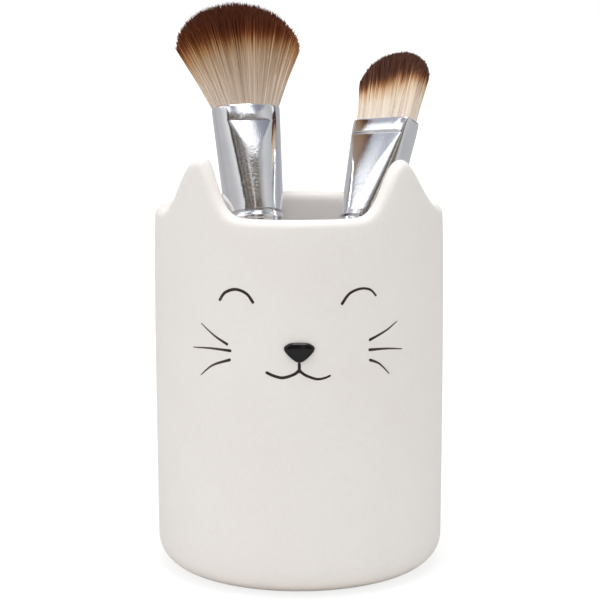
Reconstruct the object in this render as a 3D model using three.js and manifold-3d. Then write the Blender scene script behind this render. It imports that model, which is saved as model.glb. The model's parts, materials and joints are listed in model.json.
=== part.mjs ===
// A ceramic brush cup with a cat's ears and face, and two make-up brushes standing in it.
// Millimetres, +Z up. The origin is the centre of the cup's flat base and the face looks along -Y.

import * as THREE from 'three';
import Module from 'manifold-3d';
import { mergeGeometries, mergeVertices } from 'three/addons/utils/BufferGeometryUtils.js';

// ---------------------------------------------------------------- driving dimensions

// Cup wall. The outer radius swells a little between the base and the rim.
const cupHeight = 103.1; // base to the top of the rim
const baseRadius = 40.8; // outer radius just above the base fillet
const bellyRadius = 41.15; // outer radius where the wall swells most
const rimRadius = 40.7; // outer radius under the rounded rim
const bellyHeight = 70; // where the wall swells most
const wallThickness = 5; // at the rim, whose top is a full round
const floorThickness = 5;
const baseFillet = 8.3; // outer edge of the base
const cavityFillet = 6; // where the cavity's wall meets its floor

// Ears. Each is a bell-shaped rise of the rim, steeper towards the face than away from it. A reach
// is the length along the wall from the tip to where the rise has fallen to 1/e of its height.
const leftEar = {
  bearing: -40.9, // degrees from the front, to the tip
  height: 15.5, // tip above the rim
  innerReach: 5.4,
  innerSteepness: 1.75, // exponent of the bell
  outerReach: 11.9,
  outerSteepness: 2.7,
};
const rightEar = {
  bearing: 46.2,
  height: 14.8,
  innerReach: 8.8,
  innerSteepness: 2.5,
  outerReach: 10.5,
  outerSteepness: 1.6,
};

// Face. Places are distances along the wall from the front centre, and heights above the base.
const lineWidth = 0.8; // the painted grooves
const whiskerTipWidth = 0.35;
const grooveDepth = 0.9; // below the wall's surface
const enamelRecess = 0.15; // the enamel lies this far below the wall's surface
const inlayClearance = 0.1; // between an inlay and its groove
const cutterOverrun = 1; // how far the solids that cut the grooves reach out of the wall
const noseHeight = 69; // widest level of the nose
const nosePocketDepth = 1;
const noseRise = 1.15; // how far the nose stands proud
const noseEdge = 0.2; // how far its edge does
const noseHalfOutline = [
  [0, 1.73], [2.3, 1.55], [3.75, 0.75], [4.02, -0.1], [3.2, -1.45], [1.4, -3.1], [0, -3.6],
];
const facePaths = {
  mouth_line: {
    stem: [[0, 65.0], [0, 62.9]],
    left: [[0, 63.3], [-1.5, 62.1], [-4.4, 61.2], [-6.8, 61.65], [-8.7, 62.45]],
    right: [[0, 63.3], [1.5, 62.0], [4.5, 60.85], [6.6, 61.0], [8.2, 61.6]],
  },
  left_eye_line: { arc: [[-22.3, 81.4], [-20.6, 83.5], [-17.4, 84.5], [-14.3, 83.5], [-12.5, 81.3]] },
  right_eye_line: { arc: [[11.6, 80.9], [13.7, 83.5], [16.8, 84.6], [19.7, 84.2], [21.5, 82.5]] },
  left_whisker_1: { whisker: [[-20.2, 69.5], [-24.4, 71.6], [-28.6, 74.4]] },
  left_whisker_2: { whisker: [[-19.2, 67.8], [-25.5, 67.9], [-31.7, 67.5]] },
  left_whisker_3: { whisker: [[-19.4, 65.3], [-24.9, 63.3], [-29.0, 60.2]] },
  right_whisker_1: { whisker: [[19.7, 70.6], [24.9, 72.7], [28.6, 74.8]] },
  right_whisker_2: { whisker: [[19.6, 67.9], [25.1, 67.7], [30.5, 67.0]] },
  right_whisker_3: { whisker: [[19.8, 65.1], [22.7, 63.8], [25.9, 60.8]] },
};

// Brushes. Lengths along a brush count from the centre of its round foot.
const footRadius = 4; // round lower end of both handles
const restClearance = 0.3; // between a brush and the floor or the rim that it rests on
const fitClearance = 0.3; // between the pieces of one brush
const ferruleWall = 0.6;
const ferruleGrooveDepth = 0.5;
const ferruleGrooveWidth = 1;
const ferruleHem = 6; // from the ferrule's lower edge to the groove
const mouthBand = 5; // straight band below the ferrule's mouth
const tenonLength = 14; // handle inside the ferrule
const plugLength = 14; // block of glue below the hair's backing
const backingThickness = 2; // slice that the strands grow from
const backingDepth = 1; // its top below the ferrule's mouth
const strandPitch = 0.85; // between neighbours in the ferrule's mouth
const strandRadius = 0.3; // there, round a three-sided strand; it grows as the strands spread
const strandTaper = 0.7; // share of a strand's length where its point begins

const powderBrush = {
  name: 'powder_brush',
  foot: [-5.5, -10.9], // on the cavity's floor
  leanBearing: -166.6, // degrees from the front, the way it leans
  turn: 14, // degrees about its own length
  tubeRadius: 8.75, // round lower part of the ferrule
  ferruleStart: 88,
  ferruleMouth: 127.1,
  mouthHalfWidth: 10.3,
  mouthHalfDepth: 6.4,
  mouthCorner: 4.2, // radius of the mouth's corners
  tuftHalfWidth: 18.5, // where the tuft is widest
  tuftShift: -0.5, // of its middle to one side, there
  domeStart: 18.9, // that level above the mouth
  domeHeight: 14.8,
  domeSquareness: 2, // exponent of the dome's plan: 2 is an oval
  slant: -0.06, // rise of the tuft's top per millimetre of its width at the mouth
};
const foundationBrush = {
  name: 'foundation_brush',
  foot: [0.6, -21.1],
  leanBearing: 152,
  turn: -40,
  tubeRadius: 7.9,
  ferruleStart: 89.5,
  ferruleMouth: 127.5,
  mouthHalfWidth: 10.1,
  mouthHalfDepth: 3.5,
  mouthCorner: 1.5,
  tuftHalfWidth: 11.75,
  tuftShift: -0.3,
  domeStart: 12.6,
  domeHeight: 9,
  domeSquareness: 4,
  slant: 0.12,
};

// ---------------------------------------------------------------- closed solids

const wasm = await Module();
wasm.setup();

// A closed skin over rings of points, all with the same count. A ring whose points coincide is a
// pole that closes the skin, and a looped skin joins its last ring to its first.
function skin(rings, looped = false) {
  const count = rings[0].length;
  const positions = rings.flat().flatMap((point) => [point.x, point.y, point.z]);
  const index = [];
  const bands = looped ? rings.length : rings.length - 1;
  for (let band = 0; band < bands; band += 1) {
    const low = band * count;
    const high = ((band + 1) % rings.length) * count;
    for (let side = 0; side < count; side += 1) {
      const next = (side + 1) % count;
      index.push(low + side, low + next, high + next);
      index.push(low + side, high + next, high + side);
    }
  }
  const geometry = new THREE.BufferGeometry();
  geometry.setAttribute('position', new THREE.Float32BufferAttribute(positions, 3));
  geometry.setIndex(index);
  return facingOut(geometry);
}

// Merged vertices, no collapsed triangles, and faces that point outwards.
function facingOut(geometry) {
  geometry.deleteAttribute('normal');
  geometry.deleteAttribute('uv');
  const merged = mergeVertices(geometry, 1e-4);
  const points = merged.attributes.position;
  const corner = [0, 1, 2].map(() => new THREE.Vector3());
  let triangles = [];
  let volume = 0;
  for (let start = 0; start < merged.index.count; start += 3) {
    const [a, b, c] = [0, 1, 2].map((offset) => merged.index.getX(start + offset));
    if (a === b || b === c || c === a) continue;
    [a, b, c].forEach((vertex, place) => corner[place].fromBufferAttribute(points, vertex));
    volume += corner[0].dot(corner[1].clone().cross(corner[2]));
    triangles.push([a, b, c]);
  }
  if (volume < 0) triangles = triangles.map(([a, b, c]) => [a, c, b]);
  merged.setIndex(triangles.flat());
  return merged;
}

function toManifold(geometry) {
  const merged = facingOut(geometry);
  return new wasm.Manifold(new wasm.Mesh({
    numProp: 3,
    vertProperties: new Float32Array(merged.attributes.position.array),
    triVerts: new Uint32Array(merged.index.array),
  }));
}

function toGeometry(manifold) {
  const mesh = manifold.getMesh();
  const geometry = new THREE.BufferGeometry();
  geometry.setAttribute('position', new THREE.BufferAttribute(mesh.vertProperties, 3));
  geometry.setIndex(new THREE.BufferAttribute(mesh.triVerts, 1));
  return geometry;
}

// ---------------------------------------------------------------- cup

const degrees = THREE.MathUtils.degToRad;
const rimRound = wallThickness / 2;

// Point on the plan at a bearing from the front, positive towards +X.
function onBearing(radius, bearing, z) {
  return new THREE.Vector3(radius * Math.sin(bearing), -radius * Math.cos(bearing), z);
}

// Outer radius of the wall: two smooth arcs that meet at the belly.
function wallRadius(z) {
  const endRadius = z < bellyHeight ? baseRadius : rimRadius;
  const reach = z < bellyHeight ? bellyHeight : cupHeight - bellyHeight;
  const away = Math.min(Math.abs(z - bellyHeight) / reach, 1);
  return bellyRadius - (bellyRadius - endRadius) * away ** 2;
}

// How far an ear lifts the rim at a bearing. The ear's inner side is the one towards the front.
function earRise(ear, bearing) {
  const outwards = (bearing - degrees(ear.bearing)) * Math.sign(ear.bearing) * rimRadius;
  const reach = outwards < 0 ? ear.innerReach : ear.outerReach;
  const steepness = outwards < 0 ? ear.innerSteepness : ear.outerSteepness;
  return ear.height * Math.exp(-((Math.abs(outwards) / reach) ** steepness));
}

function rimHeight(bearing) {
  return cupHeight + earRise(leftEar, bearing) + earRise(rightEar, bearing);
}

// Height of the rim's round at a bearing: more on an ear's slope, so that its edge stays as thick.
function roundHeight(bearing) {
  const step = degrees(0.1);
  const slope = (rimHeight(bearing + step) - rimHeight(bearing - step)) / (2 * step * rimRadius);
  return rimRound * Math.hypot(1, slope);
}

// Outline of the wall at one bearing, from the base's centre round the rim to the floor's centre.
function cupSection(bearing) {
  const roundTop = roundHeight(bearing);
  const roundStart = rimHeight(bearing) - roundTop;
  const filletCentre = wallRadius(baseFillet) - baseFillet;
  const levels = [1, 2, 3].map((step) => THREE.MathUtils.lerp(baseFillet, bellyHeight, step / 3));
  levels.push((bellyHeight + cupHeight - rimRound) / 2);
  const section = [[0, 0]];
  for (let step = 0; step <= 5; step += 1) {
    const angle = (step / 5) * Math.PI / 2;
    section.push([filletCentre + baseFillet * Math.sin(angle), baseFillet * (1 - Math.cos(angle))]);
  }
  for (const z of levels) section.push([wallRadius(z), z]);
  for (let step = 0; step <= 6; step += 1) {
    const angle = (step / 6) * Math.PI;
    const radius = rimRadius - rimRound + rimRound * Math.cos(angle);
    section.push([radius, roundStart + roundTop * Math.sin(angle)]);
  }
  for (const z of levels.reverse()) section.push([wallRadius(z) - wallThickness, z]);
  const cavityRadius = wallRadius(floorThickness + cavityFillet) - wallThickness;
  for (let step = 0; step <= 3; step += 1) {
    const angle = (step / 3) * Math.PI / 2;
    const radius = cavityRadius - cavityFillet * (1 - Math.cos(angle));
    section.push([radius, floorThickness + cavityFillet * (1 - Math.sin(angle))]);
  }
  section.push([0, floorThickness]);
  return section;
}

// Bearings round the cup, close together where the ears rise.
function cupBearings() {
  const earsEnd = 75;
  const spread = (from, to, steps) => (
    Array.from({ length: steps }, (_, step) => degrees(THREE.MathUtils.lerp(from, to, step / steps)))
  );
  return [...spread(-earsEnd, earsEnd, 50), ...spread(earsEnd, 360 - earsEnd, 30)];
}

function cupSkin() {
  const sections = cupBearings().map((bearing) => (
    cupSection(bearing).map(([radius, z]) => onBearing(radius, bearing, z))
  ));
  const rings = sections[0].map((_, level) => sections.map((section) => section[level]));
  return skin(rings);
}

// A place on the wall, at a distance along it from the front, a height and a depth below its surface.
function onWall(along, z, depth) {
  return onBearing(wallRadius(z) - depth, along / bellyRadius, z);
}

// A bar that follows a line on the wall. Its width may narrow towards its far end.
function wallBar(points, startWidth, endWidth, outerDepth, innerDepth, margin) {
  const curve = new THREE.SplineCurve(points.map(([along, z]) => new THREE.Vector2(along, z)));
  const steps = points.length > 2 ? 10 : 1;
  const rings = [];
  for (let step = 0; step <= steps; step += 1) {
    const share = step / steps;
    const tangent = curve.getTangent(share);
    const overrun = (share === 1 ? margin : 0) - (share === 0 ? margin : 0);
    const middle = curve.getPoint(share).addScaledVector(tangent, overrun);
    const half = THREE.MathUtils.lerp(startWidth, endWidth, share) / 2 + margin;
    const left = middle.clone().add(new THREE.Vector2(-tangent.y, tangent.x).multiplyScalar(half));
    const right = middle.clone().add(new THREE.Vector2(tangent.y, -tangent.x).multiplyScalar(half));
    rings.push([
      onWall(left.x, left.y, outerDepth),
      onWall(right.x, right.y, outerDepth),
      onWall(right.x, right.y, innerDepth),
      onWall(left.x, left.y, innerDepth),
    ]);
  }
  const pole = (ring) => {
    const centre = ring.reduce((sum, point) => sum.add(point), new THREE.Vector3()).divideScalar(ring.length);
    return ring.map(() => centre);
  };
  return skin([pole(rings[0]), ...rings, pole(rings[rings.length - 1])]);
}

// One line of the face as a solid: the enamel itself, or the groove that holds it.
function faceLine(strokes, isGroove) {
  const outerDepth = isGroove ? -cutterOverrun : enamelRecess;
  const innerDepth = isGroove ? grooveDepth : grooveDepth - inlayClearance;
  const margin = isGroove ? inlayClearance : 0;
  const bars = Object.entries(strokes).map(([kind, points]) => {
    const endWidth = kind === 'whisker' ? whiskerTipWidth : lineWidth;
    return toManifold(wallBar(points, lineWidth, endWidth, outerDepth, innerDepth, margin));
  });
  return bars.reduce((joined, bar) => joined.add(bar));
}

// The nose is a rounded triangle, point down, with a domed crown. Its pocket is a straight cut.
function noseSolid(isPocket) {
  const margin = isPocket ? inlayClearance : 0;
  const mirrored = noseHalfOutline.slice(1, -1).reverse().map(([x, z]) => [-x, z]);
  const outline = [...noseHalfOutline, ...mirrored].map(([x, z]) => new THREE.Vector3(x, z, 0));
  const around = new THREE.CatmullRomCurve3(outline, true).getPoints(24).slice(0, -1);
  const drop = 0.6; // from the widest level down to the middle of the nose
  const halfWidth = Math.max(...noseHalfOutline.map(([x]) => x));
  const ringAt = (share, depth) => around.map((point) => {
    const size = share * (1 + margin / halfWidth);
    return onWall(point.x * size, noseHeight - drop + (point.y + drop) * size, depth);
  });
  const floor = isPocket ? nosePocketDepth : nosePocketDepth - inlayClearance;
  const base = [ringAt(0, floor), ringAt(1, floor)];
  if (isPocket) return skin([...base, ringAt(1, -cutterOverrun), ringAt(0, -cutterOverrun)]);
  const crown = [0, 1, 2, 3].map((step) => {
    const angle = (step / 3) * Math.PI / 2;
    return ringAt(Math.cos(angle), -THREE.MathUtils.lerp(noseEdge, noseRise, Math.sin(angle)));
  });
  return skin([...base, ...crown]);
}

function cupBody() {
  let body = toManifold(cupSkin());
  for (const strokes of Object.values(facePaths)) body = body.subtract(faceLine(strokes, true));
  return toGeometry(body.subtract(toManifold(noseSolid(true))));
}

// ---------------------------------------------------------------- brushes

const ringSides = 24;

// Outline of a brush at one level, between a round tube and the pressed mouth. Four flats grow
// between its corner arcs as the tube is pressed, so that each flat is a triangle, point down.
function brushOutline(brush, flatness, inset, z) {
  const radius = THREE.MathUtils.lerp(brush.tubeRadius, brush.mouthCorner, flatness) - inset;
  const halfFlatX = flatness * (brush.mouthHalfWidth - brush.mouthCorner);
  const halfFlatY = flatness * (brush.mouthHalfDepth - brush.mouthCorner);
  const perCorner = ringSides / 4;
  return Array.from({ length: ringSides }, (_, side) => {
    const corner = Math.floor(side / perCorner);
    const angle = ((side % perCorner) / (perCorner - 1) + corner) * Math.PI / 2;
    const signX = corner === 0 || corner === 3 ? 1 : -1;
    const signY = corner < 2 ? 1 : -1;
    return new THREE.Vector3(
      signX * halfFlatX + radius * Math.cos(angle),
      signY * halfFlatY + radius * Math.sin(angle),
      z,
    );
  });
}

// How far the ferrule is pressed flat at a level: round below the rim, flat in its mouth band.
function flatnessAt(brush, z) {
  const roundEnd = brush.ferruleStart + tenonLength + fitClearance;
  const share = (z - roundEnd) / (brush.ferruleMouth - mouthBand - roundEnd);
  return THREE.MathUtils.clamp(share, 0, 1);
}

// The ferrule's tube, its wall drawn in at the groove that grips the handle.
function ferrule(brush) {
  const groove = brush.ferruleStart + ferruleHem;
  const levels = [
    [brush.ferruleStart, 0],
    [groove - ferruleGrooveWidth / 2, 0],
    [groove, ferruleGrooveDepth],
    [groove + ferruleGrooveWidth / 2, 0],
  ];
  const flare = brush.ferruleMouth - mouthBand;
  const roundEnd = brush.ferruleStart + tenonLength + fitClearance;
  for (let step = 0; step <= 4; step += 1) levels.push([THREE.MathUtils.lerp(roundEnd, flare, step / 4), 0]);
  levels.push([brush.ferruleMouth, 0]);
  const outer = levels.map(([z, draw]) => brushOutline(brush, flatnessAt(brush, z), draw, z));
  const inner = levels.map(([z, draw]) => brushOutline(brush, flatnessAt(brush, z), draw + ferruleWall, z));
  return skin([...outer, ...inner.reverse()], true);
}

// A solid block that fills the ferrule between two levels.
function ferruleFilling(brush, low, high) {
  const inset = ferruleWall + fitClearance;
  const ringAt = (z) => brushOutline(brush, flatnessAt(brush, z), inset, z);
  const poleAt = (z) => ringAt(z).map(() => new THREE.Vector3(0, 0, z));
  const levels = Array.from({ length: 5 }, (_, step) => THREE.MathUtils.lerp(low, high, step / 4));
  return skin([poleAt(low), ...levels.map(ringAt), poleAt(high)]);
}

function rootPlug(brush) {
  const high = brush.ferruleMouth - backingDepth - backingThickness - fitClearance;
  return ferruleFilling(brush, high - plugLength, high);
}

// The handle: a round foot, a slow taper up to the ferrule, and a tenon necked under the groove.
function handle(brush) {
  const shoulder = brush.ferruleStart - fitClearance;
  const shoulderRadius = brush.tubeRadius - fitClearance;
  const tenonRadius = brush.tubeRadius - ferruleWall - fitClearance;
  const groove = brush.ferruleStart + ferruleHem;
  const profile = [];
  for (let step = 0; step <= 4; step += 1) {
    const angle = (step / 4) * Math.PI / 2;
    profile.push(new THREE.Vector2(footRadius * Math.sin(angle), -footRadius * Math.cos(angle)));
  }
  for (let step = 1; step <= 6; step += 1) {
    const share = step / 6;
    const ease = share * share * (3 - 2 * share);
    profile.push(new THREE.Vector2(THREE.MathUtils.lerp(footRadius, shoulderRadius, ease), shoulder * share));
  }
  const tenonTop = brush.ferruleStart + tenonLength;
  profile.push(new THREE.Vector2(tenonRadius, shoulder));
  profile.push(new THREE.Vector2(tenonRadius, groove - ferruleGrooveWidth));
  profile.push(new THREE.Vector2(tenonRadius - ferruleGrooveDepth, groove - ferruleGrooveWidth / 2));
  profile.push(new THREE.Vector2(tenonRadius - ferruleGrooveDepth, groove + ferruleGrooveWidth / 2));
  profile.push(new THREE.Vector2(tenonRadius, groove + ferruleGrooveWidth));
  profile.push(new THREE.Vector2(tenonRadius, tenonTop));
  profile.push(new THREE.Vector2(0, tenonTop));
  return facingOut(new THREE.LatheGeometry(profile, ringSides).rotateX(Math.PI / 2));
}

// The mouth's clear half width, half depth and corner radius for the outer strands' middles.
function mouthRoom(brush) {
  const reach = ferruleWall + fitClearance + strandPitch / 2;
  return [brush.mouthHalfWidth - reach, brush.mouthHalfDepth - reach, brush.mouthCorner - reach];
}

// How many times wider the tuft is at a height above the mouth.
function fanOut(brush, height) {
  const [halfWidth] = mouthRoom(brush);
  return THREE.MathUtils.lerp(1, brush.tuftHalfWidth / halfWidth, height / brush.domeStart);
}

// How long a strand stands above the mouth: it ends on a dome over the tuft.
function strandLength(brush, x, y) {
  const [halfWidth, halfDepth] = mouthRoom(brush);
  const power = brush.domeSquareness;
  const share = (Math.abs(x / halfWidth) ** power + Math.abs(y / halfDepth) ** power) ** (1 / power);
  const widest = fanOut(brush, brush.domeStart);
  let length = brush.domeStart;
  for (let pass = 0; pass < 8; pass += 1) {
    const reach = Math.min(share * fanOut(brush, length) / widest, 1);
    length = brush.domeStart + brush.domeHeight * Math.sqrt(1 - reach ** 2);
  }
  return length + brush.slant * x;
}

// One three-sided strand, from below the backing's top to a point on the dome.
function strand(brush, x, y) {
  const length = strandLength(brush, x, y);
  const ringAt = (height, radius) => [0, 1, 2].map((corner) => {
    const angle = (corner / 3) * 2 * Math.PI;
    const spread = fanOut(brush, height);
    const shift = brush.tuftShift * height / brush.domeStart;
    return new THREE.Vector3(
      (x + radius * Math.cos(angle)) * spread + shift,
      (y + radius * Math.sin(angle)) * spread,
      brush.ferruleMouth + height,
    );
  });
  const rootDepth = backingDepth + backingThickness / 2;
  return skin([
    ringAt(-rootDepth, 0),
    ringAt(-rootDepth, strandRadius),
    ringAt(length * strandTaper, strandRadius),
    ringAt(length, 0),
  ]);
}

// Rows of strands over the mouth, set in staggered rows and fused to their backing.
function hair(brush) {
  const [halfWidth, halfDepth, corner] = mouthRoom(brush);
  const rowPitch = strandPitch * Math.sqrt(3) / 2;
  const rows = Math.floor(halfDepth / rowPitch);
  const strands = [];
  for (let row = -rows; row <= rows; row += 1) {
    const y = row * rowPitch;
    const stagger = (Math.abs(row) % 2) * strandPitch / 2;
    const first = stagger - strandPitch * Math.ceil(halfWidth / strandPitch);
    for (let x = first; x <= halfWidth; x += strandPitch) {
      const pastFlatX = Math.max(Math.abs(x) - (halfWidth - corner), 0);
      const pastFlatY = Math.max(Math.abs(y) - (halfDepth - corner), 0);
      const isInside = Math.abs(x) <= halfWidth && Math.hypot(pastFlatX, pastFlatY) <= Math.max(corner, 0);
      if (isInside) strands.push(strand(brush, x, y));
    }
  }
  const top = brush.ferruleMouth - backingDepth;
  const backing = toManifold(ferruleFilling(brush, top - backingThickness, top));
  return toGeometry(backing.add(toManifold(mergeGeometries(strands))));
}

// How far a line stays from the circle along the middle of the round rim.
function distanceToRim(start, direction) {
  let least = Infinity;
  for (let bearing = 0; bearing < 2 * Math.PI; bearing += degrees(0.5)) {
    const away = onBearing(rimRadius - rimRound, bearing, cupHeight - rimRound).sub(start);
    least = Math.min(least, away.cross(direction).length());
  }
  return least;
}

// The way a brush leans from its foot, tipped in ever finer steps until its ferrule meets the rim.
function leanDirection(brush, foot) {
  const wanted = rimRound + brush.tubeRadius + restClearance;
  const directionAt = (lean) => onBearing(Math.sin(lean), degrees(brush.leanBearing), Math.cos(lean));
  let lean = 0;
  for (const step of [1, 0.05, 0.0025]) {
    const clears = () => distanceToRim(foot, directionAt(degrees(lean + step))) > wanted;
    while (lean < 60 && clears()) lean += step;
  }
  return directionAt(degrees(lean));
}

// ---------------------------------------------------------------- materials

function finish(color, roughness, metalness = 0) {
  return new THREE.MeshStandardMaterial({ color, roughness, metalness });
}

const glaze = finish('#ded9d4', 0.35);
const enamel = finish('#2a1c18', 0.4);
const noseGloss = finish('#0b0a0c', 0.12);
const chrome = finish('#d5d7da', 0.1, 1);
const glue = finish('#c9b68a', 0.5);
const lacquer = finish('#3a2318', 0.3);
const powderHair = finish('#9a7350', 0.7);
const foundationHair = finish('#cdb591', 0.7);

// ---------------------------------------------------------------- assembly

function piece(name, geometry, material) {
  const mesh = new THREE.Mesh(geometry, material);
  mesh.name = name;
  return mesh;
}

function brushGroup(brush, hairMaterial) {
  const foot = new THREE.Vector3(...brush.foot, floorThickness + restClearance + footRadius);
  const group = new THREE.Group();
  group.position.copy(foot);
  group.quaternion.setFromUnitVectors(new THREE.Vector3(0, 0, 1), leanDirection(brush, foot));
  group.rotateZ(degrees(brush.turn));
  group.add(
    piece(`${brush.name}_hair`, hair(brush), hairMaterial),
    piece(`${brush.name}_ferrule`, ferrule(brush), chrome),
    piece(`${brush.name}_root_plug`, rootPlug(brush), glue),
    piece(`${brush.name}_handle`, handle(brush), lacquer),
  );
  return group;
}

const object = new THREE.Group();
object.add(piece('cup_body', cupBody(), glaze));
object.add(piece('nose', noseSolid(false), noseGloss));
for (const [name, strokes] of Object.entries(facePaths)) {
  object.add(piece(name, toGeometry(faceLine(strokes, false)), enamel));
}
object.add(brushGroup(powderBrush, powderHair));
object.add(brushGroup(foundationBrush, foundationHair));

export default object;
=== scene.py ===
import json
from math import atan2, copysign, cos, exp, hypot, pi, radians, sin

import bmesh
import bpy
import numpy as np
from bmesh.types import BMEdge, BMFace, BMVert
from mathutils import Matrix, Vector


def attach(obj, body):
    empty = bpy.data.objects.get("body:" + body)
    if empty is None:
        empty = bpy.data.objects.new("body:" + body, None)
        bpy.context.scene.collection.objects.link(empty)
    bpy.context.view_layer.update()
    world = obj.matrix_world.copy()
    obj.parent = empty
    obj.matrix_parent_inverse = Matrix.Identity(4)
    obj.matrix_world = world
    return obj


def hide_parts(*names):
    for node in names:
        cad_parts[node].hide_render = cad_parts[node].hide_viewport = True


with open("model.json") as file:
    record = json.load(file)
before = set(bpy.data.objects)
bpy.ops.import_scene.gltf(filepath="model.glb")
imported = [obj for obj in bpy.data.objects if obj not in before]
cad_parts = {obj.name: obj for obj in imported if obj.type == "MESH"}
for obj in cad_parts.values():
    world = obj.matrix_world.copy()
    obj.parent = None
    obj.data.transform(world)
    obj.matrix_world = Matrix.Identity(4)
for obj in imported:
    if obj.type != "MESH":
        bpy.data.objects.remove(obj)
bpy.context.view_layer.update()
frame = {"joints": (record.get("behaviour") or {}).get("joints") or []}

# ------------------------ the CAD model
# Every piece is built on the imported model. Sizes are in millimetres, and MM makes them metres.
MM = 0.001

# ------------------------ camera
# A long lens half a metre in front of the cup and above its rim, looking a little down, as in the
# photograph.
scene = bpy.context.scene
CAMERA_PLACE = (0.24, -527.9, 159.9)
LOOKS_DOWN = 9.07  # degrees below level
ROLL = -0.19  # degrees
FILM_WIDTH = 36.0
LENS = 112.06


def new_object(name, data):
    """A new object in the scene."""
    thing = bpy.data.objects.new(name, data)
    scene.collection.objects.link(thing)
    return thing


camera = new_object("camera", bpy.data.cameras.new("camera"))
camera.location = Vector(CAMERA_PLACE) * MM
tilt = Matrix.Rotation(radians(90 - LOOKS_DOWN), 3, "X")
camera.rotation_euler = (tilt @ Matrix.Rotation(radians(ROLL), 3, "Z")).to_euler()
camera.data.sensor_width = FILM_WIDTH
camera.data.lens = LENS
camera.data.clip_end = 100.0
scene.camera = camera
scene.view_settings.view_transform = "Standard"

# ------------------------ studio
# White paper and white surroundings, one soft lamp at the upper left and one overhead. The polished
# metal mirrors two rows of studio panels all round: a grey one below, with a dark gap at the front
# left, a speckled front and a thin white edge at the right, and a mostly white one above.
DAYLIGHT = 0.715
PANEL_LIGHT = 1.3
LAMPS = (  # name, place, side, watts, whether the metal mirrors it
    ("lamp_left", (-1000, -550, 900), 800, 2.15, False),
    ("lamp_overhead", (0, -80, 620), 260, 2.0, True),
)
LAMP_AIM = Vector((0, 0, 0.07))  # the middle of the cup, in metres
LOWER_ROW = [  # bearings in degrees, 0 towards the camera and positive to the right, and colours
    (-180, "#c2c4c8"), (-153, "#afadae"), (-110, "#a6a5a4"), (-94, "#b1aeb0"), (-70, "#b4b2b2"),
    (-57, "#c1c1c0"), (-44, "#d6d5d4"), (-41, "#d6d5d4"), (-38, "#3c3a3d"), (-34, "#4c4a4a"),
    (-31, "#8c867f"), (1, "#8a847c"), (5, "#ece6e2"), (9, "#ece6e2"), (13, "#827c73"),
    (40, "#867f76"), (45, "#9e9c9c"), (60, "#c1c0c0"), (67, "#bbbbbc"), (90, "#aaacaa"),
    (94, "#aaabac"), (97, "#ffffff"), (100, "#ffffff"), (102, "#6e6a6c"), (108, "#6e6a6c"),
    (113, "#9c9c9f"), (150, "#a8a7aa"), (180, "#c2c4c8"),
]
UPPER_ROW = [
    (-180, "#c9cbd0"), (-125, "#a8a9b0"), (-104.2, "#a0a2a8"), (-102.8, "#d2d4da"),
    (-101.4, "#ffffff"), (-27, "#ffffff"), (-21, "#a9aab4"), (-8, "#b8bac2"), (0, "#e8e9ee"),
    (6, "#ffffff"), (38, "#ffffff"), (43, "#b4b7bf"), (46, "#8f919a"), (56, "#85868f"),
    (61, "#7a7e86"), (77, "#96989e"), (180, "#c9cbd0"),
]
ROWS_MEET = (45, 49)  # elevations over which the lower row gives way to the upper one
RAGGEDNESS = 14  # degrees by which the speckle moves that joint up and down
SPECKLED_FRONT = 37  # degrees to either side of the front
SPECKLE = [(0.4, "#7c766f"), (0.5, "#d2cdc8"), (0.62, "#ffffff")]
PAPER = (0.9, 0.9, 0.9, 1)
PAPER_SHADOW = (0.22, 0.22, 0.22, 1)  # how strongly the paper that is looked at shows its shadow
WHITE = (1, 1, 1, 1)


def colour(code):
    """Linear colour of a web colour code."""
    channels = [int(code[place:place + 2], 16) / 255 for place in (1, 3, 5)]
    linear = [c / 12.92 if c <= 0.04045 else ((c + 0.055) / 1.055) ** 2.4 for c in channels]
    return (*linear, 1.0)


def feed(socket, value):
    """Links an output into an input socket, or sets the input to a value."""
    if isinstance(value, bpy.types.NodeSocket):
        socket.id_data.links.new(value, socket)
    else:
        socket.default_value = value


def add_node(tree, kind, inputs=(), **settings):
    """Adds a node with its settings. Inputs are given by name or number, as values or outputs."""
    node = tree.nodes.new("ShaderNode" + kind)
    for name, value in settings.items():
        setattr(node, name, value)
    for socket, value in dict(inputs).items():
        feed(node.inputs[socket], value)
    return node


def calculate(operation, *values):
    """Output of a Math node, in the tree of the outputs among its values."""
    tree = next(value.id_data for value in values if isinstance(value, bpy.types.NodeSocket))
    return add_node(tree, "Math", enumerate(values), operation=operation).outputs[0]


def fade(value, start, end, low=0.0, high=1.0, curve="LINEAR"):
    """A value that goes from low to high while another goes from start to end."""
    return add_node(value.id_data, "MapRange", {
        "Value": value, "From Min": start, "From Max": end, "To Min": low, "To Max": high,
    }, interpolation_type=curve).outputs[0]


def ramp(factor, stops):
    """Colour output of a ramp through (position, web colour) stops."""
    node = add_node(factor.id_data, "ValToRGB", {0: factor})
    elements = node.color_ramp.elements
    elements.remove(elements[1])
    elements[0].position, elements[0].color = stops[0][0], colour(stops[0][1])
    for position, code in stops[1:]:
        elements.new(position).color = colour(code)
    return node.outputs["Color"]


def mix_colours(factor, first, second, blend="MIX"):
    """Colour output of a Mix node."""
    inputs = {0: factor, 6: first, 7: second}
    return add_node(first.id_data, "Mix", inputs, data_type="RGBA", blend_type=blend).outputs[2]


def mix_shaders(factor, first, second):
    """Output of a Mix Shader node."""
    return add_node(first.id_data, "MixShader", {0: factor, 1: first, 2: second}).outputs[0]


world = bpy.data.worlds.new("studio")
scene.world = world
world.use_nodes = True
sky = world.node_tree
sky.nodes.clear()
direction = add_node(sky, "TexCoord").outputs["Generated"]
toward = add_node(sky, "SeparateXYZ", {0: direction}).outputs
bearing = calculate("ARCTAN2", toward["X"], calculate("MULTIPLY", toward["Y"], -1.0))
round_share = calculate("MULTIPLY_ADD", bearing, 1 / (2 * pi), 0.5)
elevation = calculate("ARCSINE", toward["Z"])


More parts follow.
